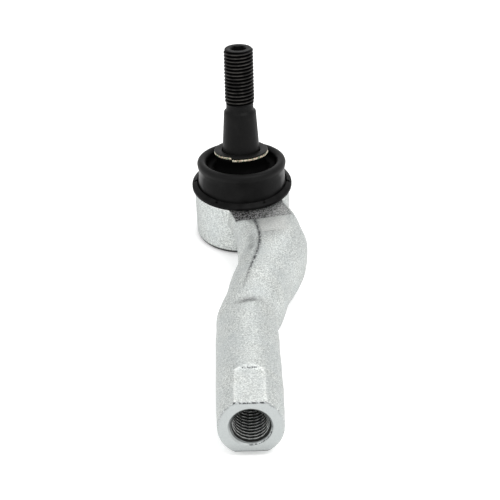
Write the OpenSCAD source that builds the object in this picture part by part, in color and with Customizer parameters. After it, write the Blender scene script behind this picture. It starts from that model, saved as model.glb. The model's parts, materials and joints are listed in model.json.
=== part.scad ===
// Tie rod end: a forged socket with a cranked shank, and a ball stud that swivels in it.
// Millimetres. The origin is the centre of the socket's flat base. +Z is the socket's axis,
// and the rod thread opens towards -Y. At rest the stud leans back, towards +Y.
// Heights along the stud are given for an upright stud.

/* [Ball stud] */
// Degrees that the stud leans back at rest
lean = 11; // [8:1:14]
// Major diameter of the stud's thread
stud_thread_d = 12; // [10:0.5:14]
// Height of the stud's tip
stud_tip_z = 81.5; // [78:0.1:86]
// Height of the lower end of the thread
stud_thread_z = 57.4; // [56:0.1:60]
// Height of the small end of the 1:8 taper
taper_top_z = 54.2; // [52:0.1:55]
// Diameter of the taper's small end
taper_top_d = 13.3; // [12.6:0.1:14]
// Length of the taper
taper_len = 16.8; // [15:0.1:17]
// Diameter of the neck between the ball and the boot's seat
neck_d = 12; // [10:0.1:12.2]
// Diameter of the ball
ball_d = 21; // [20.4:0.1:21]
// Height of the ball's centre
ball_z = 13.2; // [13:0.1:13.4]
// Width across flats of the hexagon socket in the stud's tip
hex_af = 6; // [5:0.5:6.5]
// Depth of the hexagon socket
hex_depth = 8; // [6:0.5:10]

/* [Socket] */
// Radius of the socket's wall at its top
socket_top_r = 19.7; // [19.3:0.1:20]
// Radius of the socket's wall near its base
socket_base_r = 19.1; // [18.5:0.1:19.3]
// Height of the shoulder that the boot ring sits on
socket_h = 22.5; // [22.5:0.1:23]
// Height of the collar that the boot's bead grips
collar_top_z = 25.2; // [24.5:0.1:25.3]
// Radius of the bore that holds the bearing cups
cup_bore_r = 13; // [13:0.1:13.4]
// Radius of the recess that holds the cover plate
cover_r = 15; // [14.5:0.1:15.5]

/* [Shank] */
// Distance from the stud's axis to the shank's end face
shank_end_y = 162.3; // [155:0.1:170]
// Distance from the stud's axis to the start of the straight shank
shank_bend_y = 95; // [92:0.5:98]
// Radius of the shank at its end face
shank_end_r = 13.4; // [13:0.1:13.6]
// Radius of the shank just past the bend
shank_bend_r = 12.6; // [12:0.1:13]
// Sideways offset of the straight shank from the stud's axis
shank_x = 0.7; // [0:0.1:2]
// Sideways offset of the crank's outermost point
crank_x = 12.2; // [9:0.1:14]
// Width across the two wrench flats
wrench_af = 22.8; // [22:0.1:24]
// Length of each wrench flat
wrench_len = 22; // [15:0.5:26]

/* [Rod thread] */
// Minor diameter of the inner thread
rod_minor_d = 13.84; // [12:0.01:14.5]
// Diameter of the countersunk mouth
rod_mouth_d = 17.5; // [16.5:0.1:18.5]
// Depth of the thread from the end face
rod_thread_depth = 52; // [40:1:60]

/* [Boot] */
// Outer radius of the boot's rolled rim
boot_roll_r = 18.4; // [18.2:0.1:18.6]
// Height of the centre of the roll
boot_roll_z = 31.9; // [31.5:0.1:32.4]
// Thickness of the boot's wall
boot_wall = 1.3; // [1.1:0.1:1.4]
// Outer radius of the boot's top lip
lip_r = 11.1; // [10.9:0.1:11.4]
// Height of the top of the lip
lip_top_z = 37.5; // [37.4:0.1:37.6]
// Outer radius of the ring that holds the boot down
ring_r = 20.7; // [20.5:0.1:21]
// Height of the boot ring above the shoulder
ring_h = 2; // [1.8:0.1:2.2]
// Number of slots in the boot ring
ring_slots = 6; // [3:1:12]
// Thickness of the clamp ring's wire
wire_d = 1; // [0.8:0.1:1.2]

/* [Hidden] */

$fn = 96;
eps = 0.01;
reach = 60;              // longer than any cut goes across the shank
running_gap = 0.04;      // radial clearance of parts that turn in each other
rest_gap = 0.05;         // axial clearance of parts that turn on each other

ball_r = ball_d / 2;
neck_r = neck_d / 2;
taper_top_r = taper_top_d / 2;
taper_base_r = taper_top_r + taper_len / 16;
taper_base_z = taper_top_z - taper_len;
boot_seat_r = taper_base_r + 0.1;
boot_seat_z = 32.2;      // lower end of the stud's cylinder inside the boot's lip
neck_cone_z = 29.8;
ball_flat = 8.8;         // from the ball's centre down to the flat on its underside
thread_root_d = 11.2;    // the plain neck under the thread
tip_chamfer = 0.9;
hex_lead = 0.5;          // depth of the cone at the hexagon's mouth

shoulder_z = 19.2;       // underside of the lip that keeps the ball in
mouth_r = 9;             // radius of the ball's way out, at the shoulder
mouth_top_r = 12.6;      // and at the collar's top
collar_r = 16.6;
base_flat_r = 17.8;
lip_roll_t = 0.8;        // thickness of the edge rolled over the cover plate
lip_roll_r = 13.6;
cover_t = 1.6;
boss_r = 10;             // flat centre of the cover plate
cover_top_z = lip_roll_t + cover_t;
bore_lead = 1.2;         // height of the cone between the recess and the bore
spring_t = 0.8;
spring_h = 1.5;
spring_in_r = 5.6;       // clears the ball when its flat tilts away
spring_out_r = 11.6;
cup_r = cup_bore_r - rest_gap;
cup_sphere_r = ball_r + running_gap;
cup_base_z = cover_top_z + spring_h + rest_gap;
cup_split_z = ball_z - 1.1;
cup_split_gap = 0.3;

shank_z = shank_end_r;   // height of the straight shank's axis, so that it rests at z = 0
root_ledge_z = 21.6;     // milled step under the boot ring
root_ledge_y = 25.5;
root_slope = 14;         // degrees that the shank's top rises from the step
root_strip = 20;         // length of the rising strip, cut past the shank's top
hull_fn = 32;
crank_root_r = 13.3;
crank_r = 13.7;
end_edge = 0.8;          // broken edge of the end face
wrench_end_run = 1.5;    // length of a flat's slanted end for each millimetre of rise
// Stations along the crank: [x, y, z, radius]. Its underside lies on z = 0.
crank = [
    [5.6, -6, crank_root_r, crank_root_r],
    [crank_x, -38, crank_r, crank_r],
    [crank_x - 1.9, -53, crank_r, crank_r],
    [shank_x + 1.6, -84, shank_z, 13.1],
    [shank_x, -shank_bend_y, shank_z, shank_bend_r]
];

roll_tip_r = 1.6;
roll_lean = 0.62;        // share of the stud's lean that the boot's rim takes
boot_sides = 40;
bead_out_r = 18.55;
bead_z = socket_h + rest_gap;
wire_ring_r = 10.7;
ring_edge_h = 0.7;       // height of the ring's outer edge above the shoulder
ring_skirt_h = 0.4;      // how far the ring reaches down past the shoulder
wire_z = 36.1;
wire_gap_deg = 8;
slot_w = 1.3;
slot_in_r = 18.2;
slot_out_r = 19.7;
slot_depth = 0.6;
slot_start_deg = -3;

// Points of an arc about [cx, cz], from angle a to angle b.
function arc(cx, cz, r, a, b, n = 8) =
    [for (i = [0:n]) let (t = a + (b - a) * i / n) [cx + r * cos(t), cz + r * sin(t)]];

// Turns a shape about the ball's centre, as the stud turns when it leans back.
module leaning() {
    translate([0, 0, ball_z]) rotate([-lean, 0, 0]) translate([0, 0, -ball_z]) children();
}

// The same turn, by an angle, for a point [radius, height] of a section at a place round it.
function leant(p, turn, place) =
    let (y = p[0] * sin(place), z = p[1] - ball_z)
        [p[0] * cos(place), y * cos(turn) + z * sin(turn), ball_z + z * cos(turn) - y * sin(turn)];

// Closed skin of a section that leans further from point to point: its points are
// [radius, height, share of the lean].
module leaning_skin(section, sides) {
    n = len(section);
    polyhedron(
        points = [for (i = [0:sides - 1], p = section) leant(p, lean * p[2], i * 360 / sides)],
        faces = [for (i = [0:sides - 1], k = [0:n - 1])
            let (a = i * n, b = (i + 1) % sides * n, m = (k + 1) % n)
                each [[a + k, b + m, b + k], [a + k, a + m, b + m]]],
        convexity = 6);
}

module along_rod(y) {
    translate([shank_x, -y, shank_z]) rotate([90, 0, 0]) children();
}

// Turned outside of the socket, up to the collar that the boot grips.
module socket_outside() {
    edge = 1.5;
    draft_z = 5;
    rotate_extrude()
        polygon(concat(
            [[0, 0]],
            arc(base_flat_r - 0.2, edge, edge, -90, -10),
            [[socket_base_r, draft_z], [socket_top_r, socket_h - 1],
             [socket_top_r - 0.2, socket_h], [collar_r, socket_h],
             [collar_r, collar_top_z], [0, collar_top_z]]));
}

// Hollow of the socket: cover recess, cup bore, shoulder and flared mouth.
module socket_inside() {
    rotate_extrude()
        polygon([[0, -1], [lip_roll_r, -1], [lip_roll_r, lip_roll_t], [cover_r, lip_roll_t],
                 [cover_r, cover_top_z], [cup_bore_r, cover_top_z + bore_lead],
                 [cup_bore_r, shoulder_z], [mouth_r, shoulder_z],
                 [mouth_top_r, collar_top_z], [mouth_top_r, collar_top_z + 1],
                 [0, collar_top_z + 1]]);
}

module station(s) {
    translate([s[0], s[1], s[2]]) sphere(s[3], $fn = hull_fn);
}

// Cranked part of the shank, with the milled step where it meets the socket.
module crank_body() {
    difference() {
        for (i = [0:len(crank) - 2])
            hull() {
                station(crank[i]);
                station(crank[i + 1]);
            }
        translate([-reach / 2, -root_ledge_y, root_ledge_z]) cube(reach);
        translate([-reach / 2, -root_ledge_y, root_ledge_z]) rotate([-root_slope, 0, 0])
            translate([0, -root_strip, 0]) cube([reach, root_strip + 0.2, reach]);
    }
}

module straight_shank() {
    along_rod(shank_bend_y)
        cylinder(h = shank_end_y - shank_bend_y - end_edge, r1 = shank_bend_r, r2 = shank_end_r);
    along_rod(shank_end_y - end_edge)
        cylinder(h = end_edge, r1 = shank_end_r, r2 = shank_end_r - end_edge);
}

// Both flats, each with a slanted inner end.
module wrench_flats() {
    flat = wrench_af / 2;
    rise = 4;
    for (side = [0, 180])
        along_rod(shank_end_y - wrench_len) rotate([0, 0, side])
            translate([-reach / 2, 0, 0]) rotate([90, 0, 90]) linear_extrude(reach)
                polygon([[flat, 0], [flat + rise, -wrench_end_run * rise],
                         [flat + rise, wrench_len + 1], [flat, wrench_len + 1]]);
}

module rod_bore() {
    drill_cone = rod_minor_d / 2 * 0.6;
    mouth = (rod_mouth_d - rod_minor_d) / 2;
    along_rod(shank_end_y - rod_thread_depth)
        cylinder(h = rod_thread_depth + 1, d = rod_minor_d);
    along_rod(shank_end_y - rod_thread_depth - drill_cone)
        cylinder(h = drill_cone + eps, r1 = 0, r2 = rod_minor_d / 2);
    along_rod(shank_end_y - mouth)
        cylinder(h = mouth + eps, d1 = rod_minor_d, d2 = rod_mouth_d);
}

module housing() {
    color("silver")
        difference() {
            union() {
                socket_outside();
                crank_body();
                straight_shank();
            }
            socket_inside();
            wrench_flats();
            rod_bore();
        }
}

// Disc with its centre pressed out until it is level with the socket's base.
module cover_plate() {
    color("lightgray")
        rotate_extrude()
            polygon([[0, 0], [boss_r, 0], [boss_r + lip_roll_t, lip_roll_t],
                     [cover_r, lip_roll_t], [cover_r, cover_top_z], [0, cover_top_z]]);
}

module preload_spring() {
    color("dimgray")
        translate([0, 0, cover_top_z])
            rotate_extrude()
                polygon([[spring_out_r, 0], [spring_out_r, spring_t],
                         [spring_in_r, spring_h], [spring_in_r, spring_h - spring_t]]);
}

// A cup between two heights, with the ball's sphere taken out of it.
module bearing_cup(z0, z1) {
    difference() {
        translate([0, 0, z0]) cylinder(h = z1 - z0, r = cup_r);
        translate([0, 0, ball_z]) sphere(cup_sphere_r);
    }
}

module lower_bearing_cup() {
    color("ivory") bearing_cup(cup_base_z, cup_split_z - cup_split_gap);
}

module upper_bearing_cup() {
    color("ivory") bearing_cup(cup_split_z, shoulder_z - rest_gap);
}

module ball_stud() {
    thread_r = stud_thread_d / 2;
    thread_neck_r = thread_root_d / 2;
    color([0.16, 0.16, 0.17]) leaning()
        difference() {
            union() {
                difference() {
                    translate([0, 0, ball_z]) sphere(ball_r);
                    translate([-ball_r, -ball_r, ball_z - ball_flat - ball_r])
                        cube([ball_d, ball_d, ball_r]);
                }
                rotate_extrude()
                    polygon([[0, ball_z], [neck_r, ball_z], [neck_r, neck_cone_z],
                             [boot_seat_r, boot_seat_z], [boot_seat_r, taper_base_z - 0.6],
                             [taper_base_r, taper_base_z], [taper_top_r, taper_top_z],
                             [thread_neck_r, taper_top_z + 0.8],
                             [thread_neck_r, stud_thread_z - 0.5], [thread_r, stud_thread_z],
                             [thread_r, stud_tip_z - tip_chamfer],
                             [thread_r - tip_chamfer, stud_tip_z], [0, stud_tip_z]]);
            }
            translate([0, 0, stud_tip_z - hex_depth])
                cylinder(h = hex_depth + 1, d = hex_af / cos(30), $fn = 6);
            translate([0, 0, stud_tip_z - hex_lead])
                cylinder(h = hex_lead + eps, d1 = hex_af, d2 = hex_af + 2.4 * hex_lead);
        }
}

// Points of an arc, each with the share of the lean that the section has there.
function leaning_arc(cx, cz, r, a, b, w0, w1, n) =
    let (p = arc(cx, cz, r, a, b, n)) [for (i = [0:n]) [p[i][0], p[i][1], w0 + (w1 - w0) * i / n]];

// Moulded boot in section: bead, waisted wall, rolled rim, inner fold, neck and top lip.
// Its bead stays on the socket, its neck goes with the stud, and the rim goes part of the way.
module boot() {
    roll_r = boot_roll_r - roll_tip_r;
    inner_tip = roll_tip_r - boot_wall * 0.75;
    side_mid = cos(180 / boot_sides);
    bead_in = (collar_r + rest_gap) / side_mid;
    neck_in = (boot_seat_r + running_gap) / side_mid;
    neck_out = 10.1;
    fold_r = 12.2;
    fold_z = 29.9;
    color([0.1, 0.1, 0.11])
        leaning_skin(concat(
            [[bead_in, bead_z, 0], [bead_out_r, bead_z, 0], [bead_out_r, 24.6, 0],
             [18.3, 25.6, 0.04], [18, 27.4, 0.22], [18, 29.6, roll_lean - 0.12]],
            leaning_arc(roll_r, boot_roll_z, roll_tip_r, -30, 180, roll_lean, roll_lean, 7),
            [[14.6, 30.9, 0.66]],
            leaning_arc(fold_r + 0.1, fold_z + 0.3, 1.1, -20, -160, 0.72, 0.88, 3),
            [[10.5, 31.2, 0.96], [neck_out, 32.6, 1], [neck_out, wire_z - wire_d * 0.6, 1],
             [neck_out, wire_z + wire_d * 0.55, 1], [lip_r - 0.3, wire_z + wire_d * 0.6, 1],
             [lip_r, lip_top_z - 0.5, 1], [lip_r - 0.4, lip_top_z - 0.1, 1],
             [neck_in, lip_top_z, 1], [neck_in, 32.8, 1], [8.8, 31.8, 1], [9.4, 30.4, 0.96]],
            leaning_arc(fold_r, fold_z, 2.3, 200, 340, 0.88, 0.72, 4),
            [[15.3, 30.6, 0.66]],
            leaning_arc(roll_r, boot_roll_z, inner_tip, 165, 15, roll_lean, roll_lean, 4),
            [[16.7, 29.6, roll_lean - 0.12], [16.6, 27.6, 0.22], [16.9, 26, 0.05],
             [bead_in, 25.3, 0]]), boot_sides);
}

module boot_ring() {
    in_r = bead_out_r + rest_gap;
    skirt_in_r = socket_top_r + 0.2;
    skirt_z = socket_h - ring_skirt_h;
    color([0.13, 0.13, 0.14])
        difference() {
            rotate_extrude()
                polygon([[in_r, socket_h], [skirt_in_r, socket_h], [skirt_in_r, skirt_z],
                         [ring_r - 0.3, skirt_z], [ring_r, skirt_z + 0.3],
                         [ring_r, socket_h + ring_edge_h - 0.2],
                         [ring_r - 0.2, socket_h + ring_edge_h], [in_r, socket_h + ring_h]]);
            for (i = [0:ring_slots - 1])
                rotate([0, 0, slot_start_deg + i * 360 / ring_slots])
                    translate([slot_in_r, -slot_w / 2, socket_h + ring_h - slot_depth])
                        cube([slot_out_r - slot_in_r, slot_w, slot_depth + 1]);
        }
}

module clamp_ring() {
    color([0.72, 0.66, 0.42]) leaning()
        rotate([0, 0, -90 + wire_gap_deg / 2])
            rotate_extrude(angle = 360 - wire_gap_deg)
                translate([wire_ring_r, wire_z]) circle(d = wire_d, $fn = 24);
}

housing();
cover_plate();
preload_spring();
lower_bearing_cup();
upper_bearing_cup();
ball_stud();
boot();
boot_ring();
clamp_ring();
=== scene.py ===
"""Looks of the tie rod end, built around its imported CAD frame.

Sizes inside the modelling functions are in millimetres; meshes are written in metres.
"""

import json
import math

import bpy
import numpy as np
from mathutils import Matrix, Vector


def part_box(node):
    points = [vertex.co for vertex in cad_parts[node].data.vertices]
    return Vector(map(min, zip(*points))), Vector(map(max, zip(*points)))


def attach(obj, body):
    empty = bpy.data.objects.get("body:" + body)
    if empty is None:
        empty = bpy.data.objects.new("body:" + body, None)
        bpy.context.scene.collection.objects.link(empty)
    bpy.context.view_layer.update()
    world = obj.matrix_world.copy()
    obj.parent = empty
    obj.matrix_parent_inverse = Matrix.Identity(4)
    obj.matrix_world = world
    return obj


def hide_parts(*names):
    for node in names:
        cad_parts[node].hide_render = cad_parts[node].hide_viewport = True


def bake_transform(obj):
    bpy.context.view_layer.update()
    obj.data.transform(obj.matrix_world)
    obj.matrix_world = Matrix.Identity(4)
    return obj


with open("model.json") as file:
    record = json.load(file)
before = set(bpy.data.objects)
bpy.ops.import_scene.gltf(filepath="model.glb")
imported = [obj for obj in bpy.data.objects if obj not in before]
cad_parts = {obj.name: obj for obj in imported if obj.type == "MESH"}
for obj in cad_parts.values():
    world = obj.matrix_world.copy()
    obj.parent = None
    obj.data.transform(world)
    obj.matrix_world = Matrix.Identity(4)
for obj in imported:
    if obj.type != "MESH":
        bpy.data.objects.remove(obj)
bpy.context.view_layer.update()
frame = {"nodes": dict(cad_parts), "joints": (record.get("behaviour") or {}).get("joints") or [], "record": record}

MM = 0.001
SHARP_DEG = 38

# ---------------------------------------------------------------- places taken from the CAD frame


def cad_mm(node):
    """Lowest and highest corner of a CAD node, in millimetres."""
    low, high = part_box(node)
    return np.array(low) / MM, np.array(high) / MM


HOUSING_LOW, HOUSING_HIGH = cad_mm("housing")
RING_LOW, RING_HIGH = cad_mm("boot_ring")
BOOT_LOW, _ = cad_mm("boot")
COVER_LOW, COVER_HIGH = cad_mm("cover_plate")

END_Y = HOUSING_LOW[1]           # the shank's end face
RING_R = RING_HIGH[0]
RING_LOW_Z = RING_LOW[2]         # the ring's skirt reaches down past the shoulder
RING_TOP_Z = RING_HIGH[2]
BEAD_GAP = 0.05                  # between the boot's bead and the shoulder under it
RING_Z = BOOT_LOW[2] - BEAD_GAP  # the shoulder that the boot ring sits on

MOUNTS = {m["name"]: m for m in frame["record"]["mounts"]}
ROD_X, _, ROD_Z = (c / MM for c in MOUNTS["rod_thread"]["pos_m"])
ROD_MINOR_R = MOUNTS["rod_thread"]["dims"]["r_mm"]
STUD_MAJOR_R = MOUNTS["stud_thread"]["dims"]["r_mm"]
FLAT_ABOVE_CAD = 0.2             # the photo's upper flat lies this much further out than the CAD's
FLAT_Z = MOUNTS["wrench_flat"]["pos_m"][2] / MM + FLAT_ABOVE_CAD
BALL_Z = frame["joints"][0]["pos_m"][2] / MM
STUD_AXIS = MOUNTS["stud_thread"]["axis"]
LEAN = math.atan2(STUD_AXIS[1], STUD_AXIS[2])    # the stud leans back by this at rest
# Heights on the stud and on the boot's neck, as if the stud stood upright.
TIP_Z = 81.5
LIP_TOP_Z = 37.5
WIRE_Z = 36.15

# ---------------------------------------------------------------- mesh helpers


def write_mesh(name, verts_mm, quads, tris=()):
    """A mesh object from points in millimetres and arrays of quads and triangles."""
    quads, tris = np.asarray(quads, np.int64).reshape(-1, 4), np.asarray(tris, np.int64).reshape(-1, 3)
    mesh = bpy.data.meshes.new(name)
    mesh.vertices.add(len(verts_mm))
    mesh.vertices.foreach_set("co", (np.asarray(verts_mm) * MM).astype(np.float32).ravel())
    loops = np.concatenate([quads.ravel(), tris.ravel()])
    mesh.loops.add(len(loops))
    mesh.loops.foreach_set("vertex_index", loops.astype(np.int32))
    sizes = np.concatenate([np.full(len(quads), 4), np.full(len(tris), 3)])
    starts = np.concatenate([[0], np.cumsum(sizes)[:-1]])
    mesh.polygons.add(len(sizes))
    mesh.polygons.foreach_set("loop_start", starts.astype(np.int32))
    mesh.update(calc_edges=True)
    mesh.validate()
    obj = bpy.data.objects.new(name, mesh)
    bpy.context.scene.collection.objects.link(obj)
    return obj


def smooth(obj, angle_deg=SHARP_DEG):
    obj.data.shade_smooth()
    obj.data.set_sharp_from_angle(angle=math.radians(angle_deg))
    return obj


def cut(obj, cutter):
    """Takes one closed mesh out of another, for good."""
    modifier = obj.modifiers.new("cut", "BOOLEAN")
    modifier.operation, modifier.solver, modifier.object = "DIFFERENCE", "MANIFOLD", cutter
    evaluated = obj.evaluated_get(bpy.context.evaluated_depsgraph_get())
    result = bpy.data.meshes.new_from_object(evaluated)
    obj.modifiers.remove(modifier)
    obj.data = result
    bpy.data.objects.remove(cutter)
    return obj


def points_mm(obj):
    co = np.zeros(len(obj.data.vertices) * 3, np.float32)
    obj.data.vertices.foreach_get("co", co)
    return co.reshape(-1, 3).astype(float) / MM


def mask(obj, name, values):
    """A number from 0 to 1 on every point, for a material to read."""
    layer = obj.data.attributes.new(name, "FLOAT", "POINT")
    layer.data.foreach_set("value", np.clip(values, 0, 1).astype(np.float32))


def turned(rows, count):
    """Points and faces of a solid turned about Z. A row is (radius, z); the radius may vary with angle."""
    angles = np.arange(count) * 2 * math.pi / count
    verts, quads, tris, rings = [], [], [], []
    for radius, z in rows:
        start = len(verts)
        if np.isscalar(radius) and radius == 0:
            verts.append((0, 0, z))
            rings.append([start] * count)
            continue
        radius = np.broadcast_to(radius, count)
        height = np.broadcast_to(z, count)
        verts.extend(zip(radius * np.cos(angles), radius * np.sin(angles), height))
        rings.append(list(range(start, start + count)))
    for low, high in zip(rings[:-1], rings[1:]):
        for i in range(count):
            j = (i + 1) % count
            if low[0] == low[1]:
                tris.append((low[0], high[j], high[i]))
            elif high[0] == high[1]:
                tris.append((low[i], low[j], high[0]))
            else:
                quads.append((low[i], low[j], high[j], high[i]))
    return np.array(verts, float), quads, tris


def turned_ring(profile, count):
    """A solid turned from a closed outline of (radius, z) that stays clear of the axis."""
    outline = np.asarray(profile, float)
    angles = np.arange(count) * 2 * math.pi / count
    n = len(outline)
    verts = np.stack([np.outer(np.cos(angles), outline[:, 0]), np.outer(np.sin(angles), outline[:, 0]),
                      np.tile(outline[:, 1], (count, 1))], -1).reshape(-1, 3)
    i, k = np.meshgrid(np.arange(count), np.arange(n), indexing="ij")
    i2, k2 = (i + 1) % count, (k + 1) % n
    quads = np.stack([i * n + k, i2 * n + k, i2 * n + k2, i * n + k2], -1).reshape(-1, 4)
    return verts, quads


def arc(cx, cz, radius, a, b, n=10):
    """Points on an arc, with angles in degrees."""
    t = np.radians(np.linspace(a, b, n + 1))
    return [(cx + radius * math.cos(s), cz + radius * math.sin(s)) for s in t]


def curve_through(points, per_span=8, closed=False):
    """A smooth Catmull-Rom line through points."""
    p = np.asarray(points, float)
    ends = (p[[-1]], p[[0, 1]]) if closed else (2 * p[[0]] - p[[1]], 2 * p[[-1]] - p[[-2]])
    q = np.concatenate([ends[0], p, ends[1]])
    t = (np.arange(per_span) / per_span)[:, None]
    out = []
    for a, b, c, d in zip(q[:-3], q[1:-2], q[2:-1], q[3:]):
        out.append(0.5 * (2 * b + (c - a) * t + (2 * a - 5 * b + 4 * c - d) * t ** 2
                          + (3 * b - a - 3 * c + d) * t ** 3))
    if not closed:
        out.append(p[[-1]])
    return np.concatenate(out)


def leaned(points, share):
    """Points turned about the ball's centre by a share of the stud's lean, towards +Y."""
    p, turn = np.asarray(points, float), LEAN * np.asarray(share)
    y, z = p[:, 1], p[:, 2] - BALL_Z
    return np.stack([p[:, 0], y * np.cos(turn) + z * np.sin(turn),
                     BALL_Z + z * np.cos(turn) - y * np.sin(turn)], 1)


def lean(obj):
    """Turns a finished mesh with the stud."""
    pivot = Matrix.Translation((0, 0, BALL_Z * MM))
    obj.data.transform(pivot @ Matrix.Rotation(-LEAN, 4, "X") @ pivot.inverted())
    return obj


# ---------------------------------------------------------------- solid fields for the forging


def blend_min(a, b, k):
    """Union of two fields with a fillet of about k."""
    h = np.clip(0.5 + 0.5 * (b - a) / k, 0, 1)
    return b * (1 - h) + a * h - k * h * (1 - h)


def blend_max(a, b, k):
    return -blend_min(-a, -b, k)


def near(distance, width):
    """1 where the distance is 0, falling away smoothly over about the width."""
    return np.exp(-(distance / width) ** 2)


def climb(value, span):
    """0 for values up to 0, then up to 1 over the span."""
    return np.clip(value / span, 0, 1)


# The shank's stations: y, left side, right side, top, and how square its left and right are.
SHANK = np.array([
    [6, -8.4, 17.0, 24.0, 4.0, 2.2],
    [-8, -7.6, 17.8, 25.4, 4.0, 2.2],
    [-18.5, -6.2, 22.4, 26.2, 3.8, 2.1],
    [-27.5, -4.1, 24.4, 26.6, 3.4, 2.1],
    [-36, -2.7, 26.0, 26.9, 2.8, 2.2],
    [-43, -2.5, 25.8, 27.0, 2.5, 2.3],
    [-50, -2.0, 24.8, 27.0, 2.4, 2.4],
    [-58, -3.7, 22.4, 27.0, 2.4, 2.4],
    [-67, -6.1, 18.8, 26.9, 2.4, 2.4],
    [-76, -7.8, 16.8, 26.7, 2.3, 2.3],
    [-84, -10.2, 15.2, 26.3, 2.2, 2.2],
    [-90, -11.7, 13.1, 26.0, 2.1, 2.1],
    [-96, -11.8, 12.7, 25.9, 2.0, 2.0],
    [-106, -12.1, 13.1, 26.1, 2.0, 2.0],
    [-122, -12.2, 13.5, 26.3, 2.0, 2.0],
    [-140, -12.4, 13.9, 26.5, 2.0, 2.0],
    [-170, -12.1, 13.9, 26.9, 2.0, 2.0],
])
SHANK_LINE = curve_through(SHANK, 12)[::-1]

SOCKET_BASE_R = 19.1
SOCKET_TOP_R = 19.65
COLLAR_R = 16.6                  # the collar that stands inside the boot's bead
COLLAR_TOP_Z = 25.2
HOLLOW_R = 13.0                  # the hollow that the bearing cups fill
HOLLOW_TOP_Z = 19.2
NECK_HOLE_R = 9.0                # where the hollow opens towards the stud, flared from here on
LEDGE_Z = 21.6                   # the milled step between the socket and the crank
STRIP_SLOPE = 0.24               # how fast the milled strip in front of the step rises away from it
SEAM_X = 5.5                     # the milled strip beside the seam lies only to the right of this
FLAT_START_Y = END_Y + 22
FLAT_END_RUN = 1.5               # length of a flat's slanted end for each millimetre of rise
LOWER_FLAT_INSET = 0.4           # the lower flat lies this much nearer the axis than the upper one
END_R = 13.1                     # radius of the shank at its end face
END_RIM_R = 12.75                # and of the end face inside its broken edge
MOUTH_R = 8.75                   # the rod thread's countersunk mouth
ROD_MAJOR_R = 8.0
# The crests' painted highlight fades into the bore's painted shade over these lengths.
CREST_DARK_FROM = 44             # the rod thread's crests are as dark as its roots from this far in
CREST_FADE = 26                  # and fade to that over this length
CRANK_TOP_Z = 15                 # the marks on the crank's top lie above this height
BASE_ROUNDING = 2.4              # round the socket's foot
CRANK_FILLET = 1.3               # where the crank leaves the socket
# The flash line along the top of the crank, in plan.
SEAM_HEIGHT = 0.16
SEAM_WIDTH = 0.5
SEAM = curve_through([(4.7, -26.3), (5.6, -34.5), (6.5, -42), (6.4, -52), (4.8, -60.5),
                      (2.7, -69), (0.7, -77.4), (-0.8, -83.6)], 6)
# The second, fainter row of pits beside it.
PITS = np.array([(2.9, -54.0), (3.4, -45.0)])
# The soft pinch mark at the bend, in plan.
PINCH_DEPTH = 0.5
PINCH_WIDTH = 1.5
PINCH = np.array([(-3.2, -93.3), (1.0, -91.8), (5.6, -90.8)])
# The faint die edge across the crank's top, in plan.
DIE_HEIGHT = 0.13
DIE_WIDTH = 0.5
DIE_MARK = np.array([(7.5, -42.4), (16.8, -41.9)])


def ledge_front(x):
    """y of the milled step's front edge."""
    return -26.3 + 0.19 * (x - 4.7)


def to_line(x, y, line):
    """Distance in plan from points to a line, and how far along it the nearest place is, 0 to 1."""
    best = np.full(x.shape, 1e9)
    along = np.zeros(x.shape)
    total = len(line) - 1
    for i, (a, b) in enumerate(zip(line[:-1], line[1:])):
        d = b - a
        t = np.clip(((x - a[0]) * d[0] + (y - a[1]) * d[1]) / (d @ d), 0, 1)
        gap = np.hypot(x - a[0] - t * d[0], y - a[1] - t * d[1])
        nearer = gap < best
        best = np.where(nearer, gap, best)
        along = np.where(nearer, (i + t) / total, along)
    return best, along


WAVE_TURN = 0.42                 # radians for each millimetre
WAVE_HEIGHT = 0.022
WAVES = np.random.default_rng(7).normal(size=(7, 3)) * WAVE_TURN
WAVE_PHASES = np.random.default_rng(8).uniform(0, 2 * math.pi, 7)


def unevenness(x, y, z):
    """Slow hills and hollows that a hammered surface keeps, in millimetres."""
    total = 0
    for wave, phase in zip(WAVES, WAVE_PHASES):
        total = total + np.sin(x * wave[0] + y * wave[1] * 0.7 + z * wave[2] + phase)
    return WAVE_HEIGHT * total


def shank_field(x, y, z):
    line = SHANK_LINE
    left, right, top, square_l, square_r = (np.interp(y, line[:, 0], line[:, i]) for i in range(1, 6))
    # Near the socket the crank's left side draws in towards its foot.
    left = left + 3.3 * climb(14.5 - z, 6) * climb(y + 42, 9)
    centre, half = (left + right) / 2, (right - left) / 2
    bottom = np.maximum(0, 2 * ROD_Z - top)
    mid, rise = (top + bottom) / 2, (top - bottom) / 2
    u, w = np.abs(x - centre) / half, np.abs(z - mid) / rise
    power = np.where(x < centre, square_l, square_r)
    body = ((u ** power + w ** power) ** (1 / power) - 1) * np.minimum(half, rise)
    front = ledge_front(x)
    past = np.maximum(front - y, 0)
    slope = STRIP_SLOPE + 0.5 * climb(SEAM_X - x, 5)
    strip = (z - LEDGE_Z - 0.15 - slope * past) * 0.97
    return blend_max(body, strip, 0.9)


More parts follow.
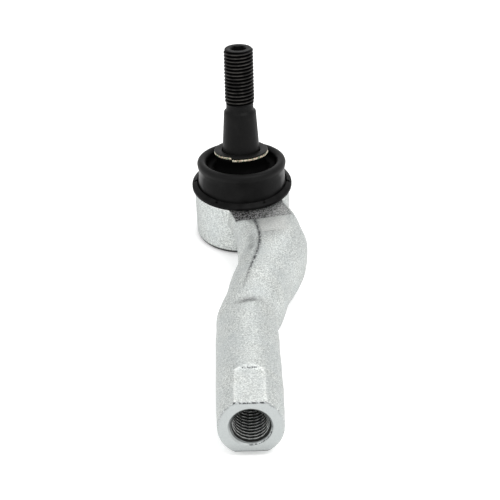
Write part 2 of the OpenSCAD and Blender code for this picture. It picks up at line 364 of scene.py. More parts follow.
def housing_field(x, y, z):
    """Below zero inside the forging, before the rod thread is cut.

    Factors such as 0.71 on slanted faces bring them to true distances.
    """
    r = np.hypot(x, y)
    wall = r - (SOCKET_BASE_R + (SOCKET_TOP_R - SOCKET_BASE_R) * np.clip(z / RING_Z, 0, 1))
    socket = blend_max(wall, -z, BASE_ROUNDING)
    shank = shank_field(x, y, z)
    shank = np.maximum(shank, y - 4)
    body = np.maximum(blend_min(socket, shank, CRANK_FILLET), -z)
    body = body - unevenness(x, y, z) * climb(z - 2, 4) * climb(y - END_Y - 2, 6)

    top_side = z > CRANK_TOP_Z
    gap, along = to_line(x, y, SEAM)
    strength = np.clip(along * 12, 0, 1) * np.clip((1 - along) * 3, 0, 1)
    body = body - np.where(top_side, SEAM_HEIGHT * strength * near(gap, SEAM_WIDTH), 0)
    gap, along = to_line(x, y, PINCH)
    depth = PINCH_DEPTH * np.sin(math.pi * (0.1 + 0.8 * along))
    body = body + np.where(top_side, depth * near(gap, PINCH_WIDTH), 0)
    gap, along = to_line(x, y, DIE_MARK)
    height = DIE_HEIGHT * np.sin(math.pi * along)
    body = body - np.where(top_side, height * near(gap, DIE_WIDTH), 0)

    # Everything above the milled step goes, and the turned flange and collar come back.
    body = np.maximum(body, np.minimum(z - LEDGE_Z, y - ledge_front(x)))
    groove = 0.22 * near(z - LEDGE_Z - 0.1, 0.22)
    flange = np.maximum(np.maximum(r - SOCKET_TOP_R - 0.1 + groove, z - RING_Z), LEDGE_Z - 1.5 - z)
    collar = np.maximum(np.maximum(r - COLLAR_R, z - COLLAR_TOP_Z), RING_Z - 2 - z)
    body = np.minimum(np.minimum(body, flange), collar)

    # The socket's hollow, from the rolled rim and the cover plate's recess up to the flared mouth.
    cover_top, cover_r, rim_hole_r = COVER_HIGH[2], COVER_HIGH[0], HOLLOW_R + 0.6
    bore = np.maximum(np.maximum(r - HOLLOW_R, 2 - z), z - HOLLOW_TOP_Z)
    recess = np.maximum(np.maximum(r - cover_r, 0.8 - z), z - cover_top)
    taper = np.maximum((r - cover_r + (z - cover_top) * 1.67) * 0.51, cover_top - 0.1 - z)
    taper = np.maximum(taper, z - 4)
    rim = np.maximum(np.maximum(r - rim_hole_r, z - 1.2), -1 - z)
    mouth = np.maximum((r - NECK_HOLE_R - (z - HOLLOW_TOP_Z) * 0.6) * 0.86, HOLLOW_TOP_Z - 0.2 - z)
    hollow = np.minimum(np.minimum(np.minimum(bore, recess), np.minimum(taper, rim)), mouth)
    body = np.maximum(body, -hollow)

    # Both wrench flats, each with a slanted end, and the end face with its broken edge.
    for side, reach in ((1, FLAT_Z - ROD_Z), (-1, FLAT_Z - ROD_Z - LOWER_FLAT_INSET)):
        above = side * (z - ROD_Z) - reach
        past = (FLAT_START_Y + FLAT_END_RUN * above - y) * 0.55
        body = blend_max(body, np.minimum(above, past), 0.35)
    face = END_Y - y
    rim_r = np.hypot(x - ROD_X, z - ROD_Z)
    broken = (rim_r - END_RIM_R - (y - END_Y)) * 0.71
    return np.maximum(np.maximum(body, face), broken)


def slope_of(field, p, h=0.02):
    """Unit direction in which a field grows, at points p."""
    g = np.stack([field(*(p + h * axis).T) - field(*(p - h * axis).T) for axis in np.eye(3)], -1)
    return g / np.maximum(np.linalg.norm(g, axis=1, keepdims=True), 1e-9)


def skin(field, low, high, step):
    """A quad mesh of a field's zero surface that keeps its edges sharp (dual contouring)."""
    axes = [np.arange(a, b + step, step) for a, b in zip(low, high)]
    values = np.empty([len(a) for a in axes], np.float32)
    slab = 24
    for start in range(0, len(axes[1]), slab):
        part = axes[1][start:start + slab]
        x, y, z = np.meshgrid(axes[0], part, axes[2], indexing="ij")
        values[:, start:start + slab] = field(x, y, z)
    inside = values < 0
    count = sum(inside[i:i - 1 or None, j:j - 1 or None, k:k - 1 or None].astype(np.int8)
                for i in (0, 1) for j in (0, 1) for k in (0, 1))
    cells = np.argwhere((count > 0) & (count < 8))
    index = np.full(count.shape, -1, np.int64)
    index[tuple(cells.T)] = np.arange(len(cells))
    origin = np.array([a[0] for a in axes])

    # Where the cell's edges cross the surface, with the surface's direction there.
    corner = np.array([[i, j, k] for i in (0, 1) for j in (0, 1) for k in (0, 1)])
    pairs = [(a, b) for a in range(8) for b in range(a + 1, 8) if np.abs(corner[a] - corner[b]).sum() == 1]
    held = np.stack([values[tuple((cells + c).T)] for c in corner], 1).astype(float)
    owner, place = [], []
    for a, b in pairs:
        hit = np.flatnonzero((held[:, a] < 0) != (held[:, b] < 0))
        t = (held[hit, a] / (held[hit, a] - held[hit, b]))[:, None]
        owner.append(hit)
        place.append(origin + step * (cells[hit] + corner[a] * (1 - t) + corner[b] * t))
    owner, place = np.concatenate(owner), np.concatenate(place)
    normal = slope_of(field, place)

    # The point of each cell that lies nearest all of its tangent planes.
    hits = np.bincount(owner, minlength=len(cells))[:, None]
    mean = np.stack([np.bincount(owner, place[:, i], len(cells)) for i in range(3)], 1) / hits
    pull = 0.06
    ata = np.zeros((len(cells), 3, 3))
    atb = np.zeros((len(cells), 3))
    offset = ((place - mean[owner]) * normal).sum(1)
    for i in range(3):
        atb[:, i] = np.bincount(owner, normal[:, i] * offset, len(cells))
        for j in range(3):
            ata[:, i, j] = np.bincount(owner, normal[:, i] * normal[:, j], len(cells))
        ata[:, i, i] += pull
    moved = np.linalg.solve(ata, atb[:, :, None])[:, :, 0]
    centre = origin + step * (cells + 0.5)
    verts = np.clip(mean + moved, centre - step * 0.5, centre + step * 0.5)

    quads = []
    for axis in range(3):
        u, v = (axis + 1) % 3, (axis + 2) % 3
        low_part = inside.take(range(inside.shape[axis] - 1), axis)
        high_part = inside.take(range(1, inside.shape[axis]), axis)
        edges = np.argwhere(low_part != high_part)
        edges = edges[(edges[:, u] > 0) & (edges[:, v] > 0)
                      & (edges[:, u] < count.shape[u]) & (edges[:, v] < count.shape[v])]
        ring = []
        for du, dv in ((-1, -1), (0, -1), (0, 0), (-1, 0)):
            at = edges.copy()
            at[:, u] += du
            at[:, v] += dv
            ring.append(index[tuple(at.T)])
        ring = np.stack(ring, 1)
        leaving = low_part[tuple(edges.T)]
        quads.append(np.where(leaving[:, None], ring, ring[:, ::-1]))
    return verts, np.concatenate(quads)


# ---------------------------------------------------------------- threads


def thread_depth(phase, pitch, crest_share=1 / 8, root_share=1 / 4):
    """Depth below the crest of a 60 degree thread, at a place counted in turns along its axis."""
    away = np.abs((phase % 1) - 0.5) * pitch
    return np.clip((away - crest_share * pitch / 2) * math.sqrt(3), 0,
                   (0.5 - (crest_share + root_share) / 2) * pitch * math.sqrt(3))


def rod_thread_cutter(count=112):
    """The rod thread's hollow as one closed solid: mouth cone, helical thread and drill point."""
    pitch, depth, outside = 2.0, 52.0, 1.0
    angles = np.arange(count) * 2 * math.pi / count
    rows = [(0, outside), (MOUTH_R, outside)]
    for s in np.arange(0, depth, 0.125):
        groove = ROD_MAJOR_R - thread_depth(s / pitch + angles / (2 * math.pi), pitch)
        fade = np.clip((depth - 1 - s) / pitch, 0, 1)
        groove = ROD_MINOR_R + (groove - ROD_MINOR_R) * fade
        rows.append((np.maximum(groove, MOUTH_R - s), -s))
    rows += [(ROD_MINOR_R, -depth), (0, -depth - ROD_MINOR_R * 0.6)]
    verts, quads, tris = turned(rows[::-1], count)
    # Turned about Z with +Z out of the mouth; laid along -Y at the rod's axis.
    verts = np.stack([verts[:, 0], -verts[:, 2], verts[:, 1]], 1) + [ROD_X, END_Y, ROD_Z]
    return write_mesh("rod_thread_cutter", verts, quads, tris)


# ---------------------------------------------------------------- materials


class Shader:
    """A short way to build a node material."""

    def __init__(self, name):
        self.material = bpy.data.materials.new(name)
        self.material.use_nodes = True
        self.nodes, self.links = self.material.node_tree.nodes, self.material.node_tree.links
        self.surface = self.nodes["Principled BSDF"]
        self.place = self.add("ShaderNodeTexCoord").outputs["Object"]

    def add(self, kind, **settings):
        node = self.nodes.new(kind)
        for key, value in settings.items():
            setattr(node, key, value)
        return node

    def put(self, value, socket):
        if isinstance(value, bpy.types.NodeSocket):
            self.links.new(value, socket)
        else:
            socket.default_value = value

    def noise(self, size_mm, detail=3, rough=0.55, stretch=None):
        """Noise whose grains are about size_mm wide."""
        node = self.add("ShaderNodeTexNoise")
        node.inputs["Scale"].default_value = 1 / (size_mm * MM)
        node.inputs["Detail"].default_value = detail
        node.inputs["Roughness"].default_value = rough
        place = self.place
        if stretch:
            mapping = self.add("ShaderNodeMapping")
            mapping.inputs["Scale"].default_value = stretch
            self.put(self.place, mapping.inputs["Vector"])
            place = mapping.outputs["Vector"]
        self.put(place, node.inputs["Vector"])
        return node.outputs["Fac"]

    def ramp(self, value, low, high, a=0.0, b=1.0):
        node = self.add("ShaderNodeMapRange", clamp=True)
        settings = {"Value": value, "From Min": low, "From Max": high, "To Min": a, "To Max": b}
        for key, setting in settings.items():
            self.put(setting, node.inputs[key])
        return node.outputs["Result"]

    def math(self, operation, a, b=0.0):
        node = self.add("ShaderNodeMath", operation=operation)
        self.put(a, node.inputs[0])
        self.put(b, node.inputs[1])
        return node.outputs[0]

    def mix(self, share, a, b):
        node = self.add("ShaderNodeMix", data_type="RGBA")
        self.put(share, node.inputs[0])
        self.put(a, node.inputs[6])
        self.put(b, node.inputs[7])
        return node.outputs[2]

    def attribute(self, name):
        return self.add("ShaderNodeAttribute", attribute_name=name).outputs["Fac"]

    def bump(self, height, depth_mm, strength=1.0):
        node = self.add("ShaderNodeBump")
        node.inputs["Strength"].default_value = strength
        node.inputs["Distance"].default_value = depth_mm * MM
        self.put(height, node.inputs["Height"])
        self.put(node.outputs["Normal"], self.surface.inputs["Normal"])

    def edge_gloss(self, facing, grazing, dulled=None):
        """Reflects more where the surface turns away, and hardly at all where it is dulled."""
        weight = self.add("ShaderNodeLayerWeight")
        weight.inputs["Blend"].default_value = 0.5
        level = self.ramp(weight.outputs["Facing"], 0.55, 1, facing, grazing)
        if dulled:
            level = self.math("MULTIPLY", level, self.ramp(dulled, 0, 1, 1, 0.15))
        self.put(level, self.surface.inputs["Specular IOR Level"])

    def set(self, **inputs):
        for key, value in inputs.items():
            self.put(value, self.surface.inputs[key.replace("_", " ")])
        return self.material


def grey(v, warm=0.0):
    return (v * (1 + warm), v, v * (1 - warm), 1)


def plated_forging():
    s = Shader("plated_forging")
    grain = s.noise(0.55, 4, 0.65)
    patch = s.noise(9, 3, 0.5)
    fleck = s.noise(0.9, 2, 0.5)
    pits = s.noise(0.75, 3, 0.6)
    light = s.mix(s.ramp(grain, 0.36, 0.64), (0.30, 0.316, 0.309, 1), (0.80, 0.824, 0.80, 1))
    light = s.mix(s.ramp(patch, 0.35, 0.7, 0, 0.35), light, (0.48, 0.52, 0.53, 1))
    light = s.mix(s.ramp(fleck, 0.66, 0.72, 0, 0.5), light, (0.90, 0.905, 0.88, 1))
    dark = s.mix(s.ramp(grain, 0.46, 0.58), (0.01, 0.01, 0.011, 1), (0.42, 0.42, 0.42, 1))
    turned_metal = s.mix(s.ramp(grain, 0.3, 0.7), (0.385, 0.408, 0.405, 1), (0.475, 0.50, 0.495, 1))
    machined = s.attribute("machined")
    colour = s.mix(machined, light, turned_metal)
    # Painted highlights: a pale colour mixed in on the milled strip, behind the die edge, on the flat's edges, the
    # lip and the thread crests.
    highlight_colour = s.mix(s.ramp(grain, 0.36, 0.64), (0.70, 0.715, 0.69, 1), (0.98, 0.985, 0.96, 1))
    colour = s.mix(s.math("MULTIPLY", s.attribute("painted_highlight"), 0.75), colour, highlight_colour)
    # Dark specks along the flash line, partly pits and partly painted shade of its small step, and dark marks on
    # the crank and the end, some of them painted shadow.
    seam = s.math("MULTIPLY", s.attribute("seam"), s.ramp(pits, 0.40, 0.52))
    marks_and_shade = s.math("MULTIPLY", s.attribute("marks_and_shade"), s.ramp(pits, 0.44, 0.54))
    wear_and_shade = s.math("MAXIMUM", seam, marks_and_shade)
    colour = s.mix(s.math("MULTIPLY", wear_and_shade, 0.95), colour, (0.03, 0.03, 0.035, 1))
    colour = s.mix(s.math("MULTIPLY", s.attribute("shaded"), s.ramp(pits, 0.3, 0.6, 0.45, 0.95)), colour,
                   (0.16, 0.165, 0.165, 1))
    colour = s.mix(s.attribute("milled"), colour, dark)
    # Painted shade inside the rod thread's bore, and a painted contact shadow round the socket's base and along
    # the end face's foot.
    painted_shade = s.math("MAXIMUM", s.attribute("bore"), s.attribute("contact_shadow"))
    colour = s.mix(painted_shade, colour, (0.012, 0.013, 0.012, 1))
    rough = s.ramp(grain, 0.3, 0.7, 0.40, 0.58)
    rough = s.math("SUBTRACT", rough, s.math("MULTIPLY", machined, 0.12))
    s.surface.inputs["Specular Tint"].default_value = (0.5, 0.5, 0.5, 1)
    height = s.math("ADD", grain, s.math("MULTIPLY", fleck, 0.6))
    height = s.math("MULTIPLY", height, s.ramp(machined, 0, 1, 1, 0.25))
    s.bump(height, 0.16, 0.8)
    return s.set(Base_Color=colour, Roughness=rough, Metallic=0.85)


def black_phosphate():
    s = Shader("black_phosphate")
    grain = s.noise(0.25, 4, 0.6)
    patch = s.noise(3.5, 3, 0.5)
    colour = s.mix(s.ramp(grain, 0.35, 0.7), grey(0.004), grey(0.009))
    colour = s.mix(s.ramp(patch, 0.45, 0.75, 0, 0.4), colour, grey(0.012, 0.05))
    s.bump(grain, 0.05, 0.6)
    # Painted highlights on the thread's crests and painted shade in its roots.
    crest = s.attribute("crest")
    colour = s.mix(s.math("MULTIPLY", crest, s.ramp(patch, 0.4, 0.6, 0.25, 1)), colour, grey(0.045, 0.06))
    colour = s.mix(s.attribute("root_shade"), colour, grey(0.0008))
    s.edge_gloss(0.07, 0.01, s.attribute("root_shade"))
    return s.set(Base_Color=colour, Roughness=s.ramp(patch, 0.3, 0.7, 0.30, 0.46), Metallic=0.0)


def boot_rubber():
    s = Shader("boot_rubber")
    grain = s.noise(0.35, 3, 0.6)
    patch = s.noise(6, 3, 0.55)
    colour = s.mix(s.ramp(patch, 0.35, 0.7), grey(0.004), grey(0.008))
    s.bump(grain, 0.03, 0.5)
    # Painted shade deep in the boot's neck and fold.
    deep_shade = s.attribute("deep_shade")
    colour = s.mix(deep_shade, colour, grey(0.001))
    wall = s.attribute("wall")
    s.edge_gloss(s.ramp(wall, 0, 1, 0.10, 0.07), s.ramp(wall, 0, 1, 0.10, 1.0), deep_shade)
    return s.set(Base_Color=colour, Roughness=s.ramp(patch, 0.3, 0.75, 0.40, 0.54))


def ring_plastic():
    s = Shader("ring_plastic")
    grain = s.noise(0.3, 3, 0.6)
    patch = s.noise(4, 3, 0.5)
    colour = s.mix(s.ramp(patch, 0.35, 0.7), grey(0.003), grey(0.008))
    s.bump(grain, 0.03, 0.5)
    s.edge_gloss(0.06, 0.05)
    return s.set(Base_Color=colour, Roughness=s.ramp(grain, 0.3, 0.75, 0.36, 0.5))


def passivated_wire():
    s = Shader("passivated_wire")
    grain = s.noise(1.1, 3, 0.6)
    fleck = s.noise(0.7, 3, 0.6)
    colour = s.mix(s.ramp(grain, 0.35, 0.65), (0.46, 0.32, 0.24, 1), (0.66, 0.62, 0.50, 1))
    colour = s.mix(s.ramp(fleck, 0.5, 0.56, 0, 0.95), colour, (0.05, 0.12, 0.06, 1))
    s.bump(grain, 0.03, 0.5)
    return s.set(Base_Color=colour, Roughness=s.ramp(grain, 0.3, 0.7, 0.3, 0.5), Metallic=0.5)


def plain_steel(name, low, high, roughness):
    s = Shader(name)
    grain = s.noise(0.4, 4, 0.6)
    patch = s.noise(5, 3, 0.5)
    colour = s.mix(s.ramp(patch, 0.3, 0.7), low, high)
    s.bump(grain, 0.04, 0.5)
    return s.set(Base_Color=colour, Roughness=s.ramp(grain, 0.3, 0.7, roughness - 0.07, roughness + 0.07),
                 Metallic=0.85)


def acetal():
    s = Shader("acetal")
    patch = s.noise(3, 3, 0.5)
    colour = s.mix(s.ramp(patch, 0.3, 0.7), (0.70, 0.67, 0.58, 1), (0.78, 0.75, 0.67, 1))
    s.bump(s.noise(0.3, 3, 0.6), 0.02, 0.5)
    return s.set(Base_Color=colour, Roughness=s.ramp(patch, 0.3, 0.7, 0.38, 0.48))


# ---------------------------------------------------------------- pieces


def finish_piece(obj, body, material, slot, *replaced):
    """Gives a piece its material, hides the CAD nodes that it replaces and ties it to its body; the slot is not
    used.
    """
    obj.data.materials.clear()
    obj.data.materials.append(material)
    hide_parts(*replaced)
    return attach(obj, body)


def mask_crank(obj, x, y, z, r, normals):
    """The milled step, and the flash, pits, pinch and die edge of the forging.

    Gives back a painted shadow along the die edge, and painted highlights just behind it and on the milled strip.
    """
    on_ledge = (np.abs(z - LEDGE_Z) < 0.08) & (normals[:, 2] > 0.7) & (r > SOCKET_TOP_R)
    mask(obj, "milled", on_ledge * (1.0 - 0.35 * climb(x - 4, 14)))
    on_top = z > CRANK_TOP_Z
    # Dark specks along the flash line: partly pits, partly painted shade of its small step.
    gap, along = to_line(x, y, SEAM)
    seam = near(gap, 0.75) * np.clip((1.1 - along) * 2.2, 0, 1)
    gap, along = to_line(x, y, PITS)
    mask(obj, "seam", np.maximum(seam, 0.4 * near(gap, 1.4)) * on_top)
    gap, along = to_line(x, y, PINCH)
    pinch = np.sin(math.pi * (0.12 + 0.76 * along)) * near(gap, 1.7) * on_top
    low_face = 0.3 * (y < END_Y + 0.3) * climb(6 - z, 3)
    mask(obj, "shaded", np.maximum(pinch, low_face))
    # A painted shadow along the die edge, a painted highlight just behind it, and a painted highlight on the
    # milled strip right of the seam.
    gap, along = to_line(x, y, DIE_MARK)
    die = on_top * (along > 0.02) * (along < 0.98)
    behind = y - np.interp(x, DIE_MARK[:, 0], DIE_MARK[:, 1])
    strip = (z > LEDGE_Z) * climb(LEDGE_Z + 5 - z, 1.5) * climb(x - SEAM_X, 2) * climb(20 - x, 4)
    strip = strip * (r > 22) * (y > -50)
    return 0.6 * die * near(gap, 0.4), np.maximum(1.2 * die * near(behind - 0.9, 0.5), 0.7 * strip)


def mask_end(obj, x, y, z, r, rod_r):
    """The rod thread, painted dark as shade in its bore and light as highlights on its crests near the mouth, a
    painted contact shadow at the foot, the end face's edges and the flat.

    Gives back its dark marks, some of them painted shadow, and its painted highlights.
    """
    inward = y - END_Y
    # Painted shade inside the rod thread, except on the crests near the mouth.
    in_bore = (rod_r < ROD_MAJOR_R + 0.1) & (inward > 0.6) & (inward < 60)
    on_cone = rod_r < MOUTH_R - inward + 0.1
    crest = climb(ROD_MINOR_R + 0.13 - rod_r, 0.1) * climb(CREST_DARK_FROM - inward, CREST_FADE)
    mask(obj, "bore", in_bore * (1 - crest) * (1 - 0.35 * on_cone))
    turn = np.degrees(np.arctan2(z - ROD_Z, x - ROD_X))
    # A painted shadow in an arc where the thread starts, just inside the countersink.
    thread_start_shadow = (np.abs(rod_r - 8.35) < 0.2) & (turn > -95) & (turn < 5) & (inward < 1.2) & (inward > 0.02)

    # The sawn edge above the end face, the face's rim, and the slanted end of the upper flat.
    across = np.abs(x - ROD_X)
    edge = (inward < 0.35) & (z > FLAT_Z - 0.6) & (across < 6.8)
    rim = 0.45 * near(rod_r - END_RIM_R, 0.45) * (inward < 0.6) * climb(turn - 10, 30)
    over = z - FLAT_Z
    slant = (over > 0.05) & (np.abs(y - FLAT_START_Y - FLAT_END_RUN * over) < 0.4)
    dashes = slant * near(over - 0.55, 0.22) * (across < 2.8)
    on_flat = (np.abs(over) < 0.06) & (y < FLAT_START_Y + 0.4) & (inward > 0.4)
    side = across / math.sqrt(END_R ** 2 - (FLAT_Z - ROD_Z) ** 2)
    flat = on_flat * (0.1 + 0.35 * near(side - 1, 0.14))
    slant_edge = 0.5 * slant * climb(across - 3.6, 1.5)
    # A painted contact shadow along the end face's foot and round the socket's base.
    foot = 0.9 * (inward < 0.9) * climb(2 * ROD_Z - FLAT_Z + 0.95 - z, 0.3)
    mask(obj, "contact_shadow", np.maximum((r < 19.4) * climb(1.9 - z, 0.5), foot))
    # Painted highlights on the flat, most at its edges, on the sides of its slanted end and on the thread crests
    # near the mouth.
    painted_highlight = np.max([flat, slant_edge, 1.33 * in_bore * crest * (1 - on_cone)], 0)
    return np.max([edge, rim, dashes, thread_start_shadow], 0), painted_highlight


def make_housing():
    step = 0.34
    margin = 1.5
    verts, quads = skin(housing_field, HOUSING_LOW - margin, HOUSING_HIGH + margin, step)
    obj = write_mesh("housing_forging", verts, quads)
    cut(obj, rod_thread_cutter())
    smooth(obj)
    x, y, z = points_mm(obj).T
    r = np.hypot(x, y)
    rod_r = np.hypot(x - ROD_X, z - ROD_Z)
    normals = np.array([v.normal for v in obj.data.vertices], float)
    end_face = (y < END_Y + 0.06) | ((rod_r < MOUTH_R + 0.1) & (y < END_Y + 60))
    flange = (r < SOCKET_TOP_R + 0.4) & (z > LEDGE_Z + 0.1)
    hollow = (r < HOLLOW_R + 2.2) & (z > 0.3)
    mask(obj, "machined", end_face | flange | hollow)
    crank_shadow, crank_highlight = mask_crank(obj, x, y, z, r, normals)
    end_marks_and_shade, end_highlight = mask_end(obj, x, y, z, r, rod_r)
    # A painted highlight on the thin lip just under the boot ring.
    lip = (r > SOCKET_TOP_R - 0.45) & (r < SOCKET_TOP_R + 0.5) & (z > LEDGE_Z - 0.4) & (z < LEDGE_Z + 1.0)
    mask(obj, "marks_and_shade", np.maximum(crank_shadow, end_marks_and_shade))
    mask(obj, "painted_highlight", np.max([crank_highlight, end_highlight, lip], 0))
    return finish_piece(obj, "housing", plated_forging(), "plated_forging", "housing")


def make_stud():
    pitch, count = 1.5, 128
    thread_z, crest_r, tip_r = 57.4, STUD_MAJOR_R + 0.12, 5.4
    ball_r, neck_r, root_r, seat_r = 10.5, 6.0, 5.65, 7.8
    flat_z, neck_top_z, seat_z = BALL_Z - 8.8, 29.5, 32.2
    taper_z, taper_top_z, taper_top_r = 37.4, 54.2, 6.65
    flat_r = math.sqrt(ball_r ** 2 - (BALL_Z - flat_z) ** 2)
    neck_deg = math.degrees(math.acos(neck_r / ball_r))
    flat_deg = math.degrees(math.atan2(flat_z - BALL_Z, flat_r))
    angles = np.arange(count) * 2 * math.pi / count
    rows = [(0, flat_z), (flat_r - 0.2, flat_z)]
    rows += arc(0, BALL_Z, ball_r, flat_deg + 1, neck_deg + 1, 28)
    rows += [(neck_r, BALL_Z + ball_r + 0.5), (neck_r, neck_top_z)]
    rows += [(neck_r + 0.1, neck_top_z + 0.5), (seat_r - 0.25, seat_z - 0.3), (seat_r, seat_z + 0.2)]
    rows += [(seat_r, taper_z - 0.7), (seat_r - 0.1, taper_z)]
    rows += [(seat_r - 0.1 + (taper_top_r - seat_r + 0.1) * t, taper_z + (taper_top_z - taper_z) * t)
             for t in np.linspace(0.1, 0.985, 8)]
    rows += [(taper_top_r - 0.12, taper_top_z + 0.1), (root_r + 0.12, taper_top_z + 0.75)]
    rows += [(root_r, taper_top_z + 1.0), (root_r, thread_z - 0.4)]
    for z in np.arange(thread_z, TIP_Z, 0.1):
        depth = thread_depth((z - thread_z) / pitch - angles / (2 * math.pi), pitch, 1 / 5, 1 / 8)
        run = climb(z - thread_z, 1.6)
        radius = root_r + (crest_r - depth - root_r) * run
        rows.append((np.minimum(radius, tip_r + (TIP_Z - z)), z))
    rows += [(tip_r, TIP_Z), (0, TIP_Z)]
    obj = write_mesh("threaded_ball_stud", *turned(rows, count))

    hex_r, hex_depth = 6 / math.sqrt(3), 8
    verts, quads, tris = turned([(0, TIP_Z - hex_depth), (hex_r, TIP_Z - hex_depth),
                                 (hex_r, TIP_Z + 1), (0, TIP_Z + 1)], 6)
    cut(obj, write_mesh("hex_cutter", verts, quads, tris))
    verts, quads, tris = turned([(0, TIP_Z - 0.75), (hex_r - 0.75, TIP_Z - 0.75),
                                 (hex_r + 0.35, TIP_Z + 0.3), (0, TIP_Z + 0.3)], 64)
    cut(obj, write_mesh("hex_chamfer_cutter", verts, quads, tris))
    x, y, z = points_mm(obj).T
    r = np.hypot(x, y)
    threaded = (z > thread_z + 0.3) & (z < TIP_Z - 0.4) & (r > 4.2)
    # Where the stud's thread gets painted highlights on its crests and painted shade in its roots.
    mask(obj, "crest", threaded * climb(r - (STUD_MAJOR_R - 0.03), 0.12))
    mask(obj, "root_shade", threaded * climb(STUD_MAJOR_R - 0.15 - r, 0.2))
    return finish_piece(smooth(lean(obj), 30), "stud", black_phosphate(), "phosphated_steel", "ball_stud")


def boot_outline():
    """Closed section of the boot as rows of (radius, z, share of the lean), for an upright stud.

    It runs from the bead's inner corner round the outside to the lip, and back inside.
    """
    bead_in, bead_out, bead_z = 16.65, 18.55, BOOT_LOW[2]
    roll_r, roll_z, roll_tip, wall, rolled = 16.55, 31.9, 1.85, 1.25, 0.62
    neck_in, lip_r = 7.85, 11.1

    def held(points, share):
        return [(r, z, share) for r, z in points]

    waist = [(bead_out, RING_TOP_Z - 1.1, 0), (17.95, RING_TOP_Z - 0.5, 0.01), (17.95, 25.6, 0.05),
             (17.85, 27.8, 0.28), (17.9, 29.3, 0.46), (18.15, 30.5, 0.57)]
    outside = curve_through(waist + held(arc(roll_r, roll_z, roll_tip, -5, 70, 4), rolled), 5)
    over = held(arc(roll_r, roll_z, roll_tip, 75, 180, 14), rolled)
    inner = curve_through([(14.65, 31.5, 0.62), (14.4, 30.9, 0.6), (13.8, 30.2, 0.57), (12.6, 29.9, 0.58),
                           (11.5, 30.2, 0.7), (10.85, 31, 0.84), (10.4, 32, 0.95), (10.2, 33.4, 1),
                           (10.15, 35.2, 1)], 5)
    groove = held([(10.15, WIRE_Z + 0.6), (10.3, WIRE_Z + 0.85), (10.9, WIRE_Z + 0.9)], 1)
    lip = held(arc(lip_r - 0.3, LIP_TOP_Z - 0.42, 0.3, -60, 60, 8), 1)
    top = curve_through(held([(lip_r - 0.5, LIP_TOP_Z - 0.1), (9.6, LIP_TOP_Z), (8.6, LIP_TOP_Z - 0.05),
                              (neck_in + 0.15, LIP_TOP_Z - 0.25), (neck_in, LIP_TOP_Z - 0.55)], 1), 4)
    inside = curve_through([(neck_in, 33.0, 1), (8.8, 32.2, 1), (9.3, 31.2, 0.93), (9.9, 30.0, 0.82),
                            (10.7, 29.2, 0.7), (12.3, 28.8, 0.57), (13.9, 29.2, 0.55), (15.0, 29.9, 0.58),
                            (15.6, 30.7, 0.61), (15.8, 31.4, 0.62)], 5)
    under = held(arc(roll_r, roll_z, roll_tip - wall, 170, 10, 8), rolled)
    back = curve_through([(16.95, 30.9, 0.58), (16.7, 29.4, 0.46), (16.6, 28, 0.3), (16.8, 26.4, 0.08),
                          (bead_in, 25.35, 0)], 4)
    return np.concatenate([[(bead_in, bead_z, 0), (bead_out, bead_z, 0)], outside, over, inner, groove, lip,
                           top, inside, under, back, [(bead_in, bead_z + 1, 0)]])


def make_boot():
    outline, count = boot_outline(), 192
    share = np.tile(outline[:, 2], count)
    verts, quads = turned_ring(outline[:, :2], count)
    obj = smooth(write_mesh("rubber_boot", leaned(verts, share), quads), 50)
    radius = np.hypot(verts[:, 0], verts[:, 1])
    mask(obj, "wall", (radius > 17.6) & (verts[:, 2] < 31))
    # Painted shade inside the boot, deep in its neck and fold.
    mask(obj, "deep_shade", climb(15.0 - radius, 0.5) * climb(36.4 - verts[:, 2], 1.5))
    obj.data.materials.append(boot_rubber())
    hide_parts("boot")
    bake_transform(obj)
    # Each point of the section leans by its own share of the stud's lean, as the boot sits at rest.
    return obj


def make_boot_ring():
    inner, skirt_r, edge_z = 18.6, SOCKET_TOP_R + 0.25, RING_Z + 1.0
    outline = ([(inner, RING_Z), (skirt_r, RING_Z), (skirt_r, RING_LOW_Z), (RING_R - 0.25, RING_LOW_Z),
                (RING_R - 0.03, RING_LOW_Z + 0.2)] + arc(RING_R - 0.35, edge_z - 0.35, 0.35, 5, 60, 5)
               + [(19.2, RING_TOP_Z - 0.3), (inner + 0.12, RING_TOP_Z - 0.03), (inner, RING_TOP_Z - 0.1)])
    verts, quads = turned_ring(outline, 192)
    obj = write_mesh("slotted_boot_ring", verts, quads)
    slots, width, low_r, high_r, depth, first_deg = 6, 1.3, 17.8, 19.9, 1.1, -3
    for i in range(slots):
        turn = Matrix.Rotation(math.radians(first_deg + i * 360 / slots), 3, "Z")
        corners = [(x, y, z) for x in (low_r, high_r) for y in (-width / 2, width / 2)
                   for z in (RING_TOP_Z - depth, RING_TOP_Z + 1)]
        corners = [tuple(turn @ Vector(c)) for c in corners]
        faces = [(0, 1, 3, 2), (4, 6, 7, 5), (0, 4, 5, 1), (2, 3, 7, 6), (0, 2, 6, 4), (1, 5, 7, 3)]
        cut(obj, write_mesh("slot_cutter", corners, faces))
    smooth(obj)
    return finish_piece(obj, "housing", ring_plastic(), "ring_plastic", "boot_ring")


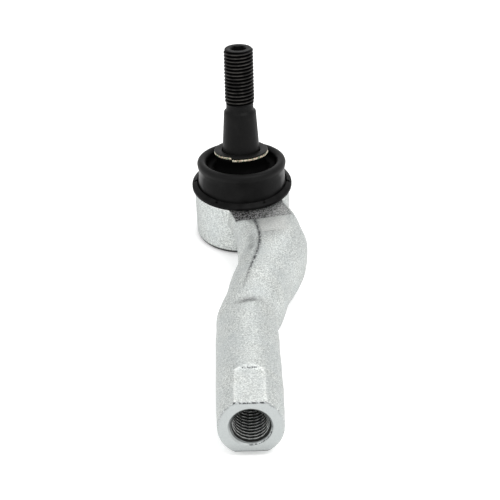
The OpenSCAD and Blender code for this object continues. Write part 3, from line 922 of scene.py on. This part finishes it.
def make_clamp_ring():
    """One turn of wire whose ends pass each other left of the front, one above the other."""
    ring_r, wire_r, sides, steps, first_deg, span_deg = 10.7, 0.5, 14, 150, -110, 358
    sunk, lifted, spread = 0.35, 0.6, 0.25      # how the ends leave the ring's plane and circle
    verts = []
    for t in np.linspace(0, 1, steps):
        turn = math.radians(first_deg + t * span_deg)
        from_start, from_end = t * span_deg, (1 - t) * span_deg
        z = WIRE_Z - sunk * max(0, 1 - from_start / 60) + lifted * max(0, 1 - from_end / 90)
        out = spread * max(0, 1 - from_end / 40)
        for s in range(sides):
            a = 2 * math.pi * s / sides
            r = ring_r + out + wire_r * math.cos(a)
            verts.append((r * math.cos(turn), r * math.sin(turn), z + wire_r * math.sin(a)))
    quads = []
    for i in range(0, (steps - 1) * sides, sides):
        for s in range(sides):
            beside = (s + 1) % sides
            quads.append((i + sides + s, i + sides + beside, i + beside, i + s))
    tris = []
    for first, order in ((0, 1), ((steps - 1) * sides, -1)):
        middle = len(verts)
        verts.append(tuple(np.mean(verts[first:first + sides], 0)))
        tris += [(first + s, first + (s + 1) % sides, middle)[::order] for s in range(sides)]
    obj = smooth(lean(write_mesh("wire_clamp", verts, quads, tris)), 50)
    return finish_piece(obj, "boot_neck", passivated_wire(), "passivated_wire", "clamp_ring")


def make_cover():
    low_z, top_z, edge_r, boss_r = COVER_LOW[2], COVER_HIGH[2], COVER_HIGH[0], 10
    dent = 0.8
    rows = [(0, low_z), (boss_r - 0.5, low_z)]
    rows += [(boss_r + 0.1, low_z + 0.12), (boss_r + 0.7, low_z + dent - 0.1), (boss_r + 1.2, low_z + dent)]
    rows += [(edge_r - 0.2, low_z + dent), (edge_r, low_z + dent + 0.2)]
    rows += [(edge_r, top_z - 0.2), (edge_r - 0.2, top_z)]
    rows += [(boss_r, top_z), (0, top_z)]
    obj = smooth(write_mesh("pressed_cover", *turned(rows, 160)))
    steel = plain_steel("cover_steel", grey(0.48), grey(0.60), 0.36)
    return finish_piece(obj, "housing", steel, "plated_steel", "cover_plate")


def paint_inner_pieces():
    steel = plain_steel("spring_steel", grey(0.20), grey(0.30), 0.32)
    plastic = acetal()
    for node, material in (("preload_spring", steel), ("lower_bearing_cup", plastic),
                           ("upper_bearing_cup", plastic)):
        obj = frame["nodes"][node]
        obj.data.materials.clear()
        obj.data.materials.append(material)


# ---------------------------------------------------------------- studio

PART_MIDDLE_M = (0, -0.06, 0.03)


def make_camera():
    """A long lens on the shank's end, a little above it, with the stud behind."""
    elevation, azimuth, roll = (math.radians(a) for a in (32.68, -0.10, -1.56))
    target, distance, lens = Vector((2.58, 0, -10.21)) * MM, 1600.8 * MM, 273.6
    back = Vector((math.sin(azimuth) * math.cos(elevation), -math.cos(azimuth) * math.cos(elevation),
                   math.sin(elevation)))
    right = Vector((math.cos(azimuth), math.sin(azimuth), 0))
    up = back.cross(right)
    rolled_right = right * math.cos(roll) + up * math.sin(roll)
    rolled_up = up * math.cos(roll) - right * math.sin(roll)
    data = bpy.data.cameras.new("camera")
    data.lens, data.sensor_width, data.clip_start, data.clip_end = lens, 36, 0.05, 20
    camera = bpy.data.objects.new("camera", data)
    bpy.context.scene.collection.objects.link(camera)
    turn = Matrix((rolled_right, rolled_up, back)).transposed().to_4x4()
    camera.matrix_world = Matrix.Translation(target + back * distance) @ turn
    bpy.context.scene.camera = camera


def make_light(name, place_m, size_m, power):
    """A round soft light that faces the middle of the part."""
    data = bpy.data.lights.new(name, "AREA")
    data.shape, data.size, data.energy = "DISK", size_m, power
    light = bpy.data.objects.new(name, data)
    bpy.context.scene.collection.objects.link(light)
    turn = (Vector(PART_MIDDLE_M) - Vector(place_m)).to_track_quat("-Z", "Y").to_matrix().to_4x4()
    light.matrix_world = Matrix.Translation(place_m) @ turn


def make_studio():
    s = Shader("studio_floor")
    tone = s.ramp(s.noise(120, 2, 0.4), 0.3, 0.7, 0.93, 0.96)
    colour = s.add("ShaderNodeCombineColor")
    for socket in colour.inputs[:3]:
        s.put(tone, socket)
    s.set(Base_Color=colour.outputs[0], Roughness=0.75)
    s.surface.inputs["Specular IOR Level"].default_value = 0.2
    # Lit a little from below, as a light table is, so that it stays white round the part.
    s.set(Emission_Color=(1, 1, 1, 1), Emission_Strength=0.22)
    half = 4000
    floor = write_mesh("floor", [(-half, -half, 0), (half, -half, 0), (half, half, 0), (-half, half, 0)],
                       [(0, 1, 2, 3)])
    floor.data.materials.append(s.material)
    world = bpy.data.worlds.new("studio")
    world.use_nodes = True
    world.node_tree.nodes["Background"].inputs["Color"].default_value = (1, 1, 1, 1)
    world.node_tree.nodes["Background"].inputs["Strength"].default_value = 1.0
    bpy.context.scene.world = world
    bpy.context.scene.view_settings.view_transform = "Standard"
    make_light("key", (0.45, -0.3, 1.0), 0.8, 4.5)
    make_light("fill", (-0.6, -0.6, 0.9), 0.8, 1.5)
    make_light("back", (0.1, 0.9, 0.8), 0.6, 1.2)


make_camera()
make_studio()
make_housing()
make_stud()
make_boot()
make_boot_ring()
make_clamp_ring()
make_cover()
paint_inner_pieces()
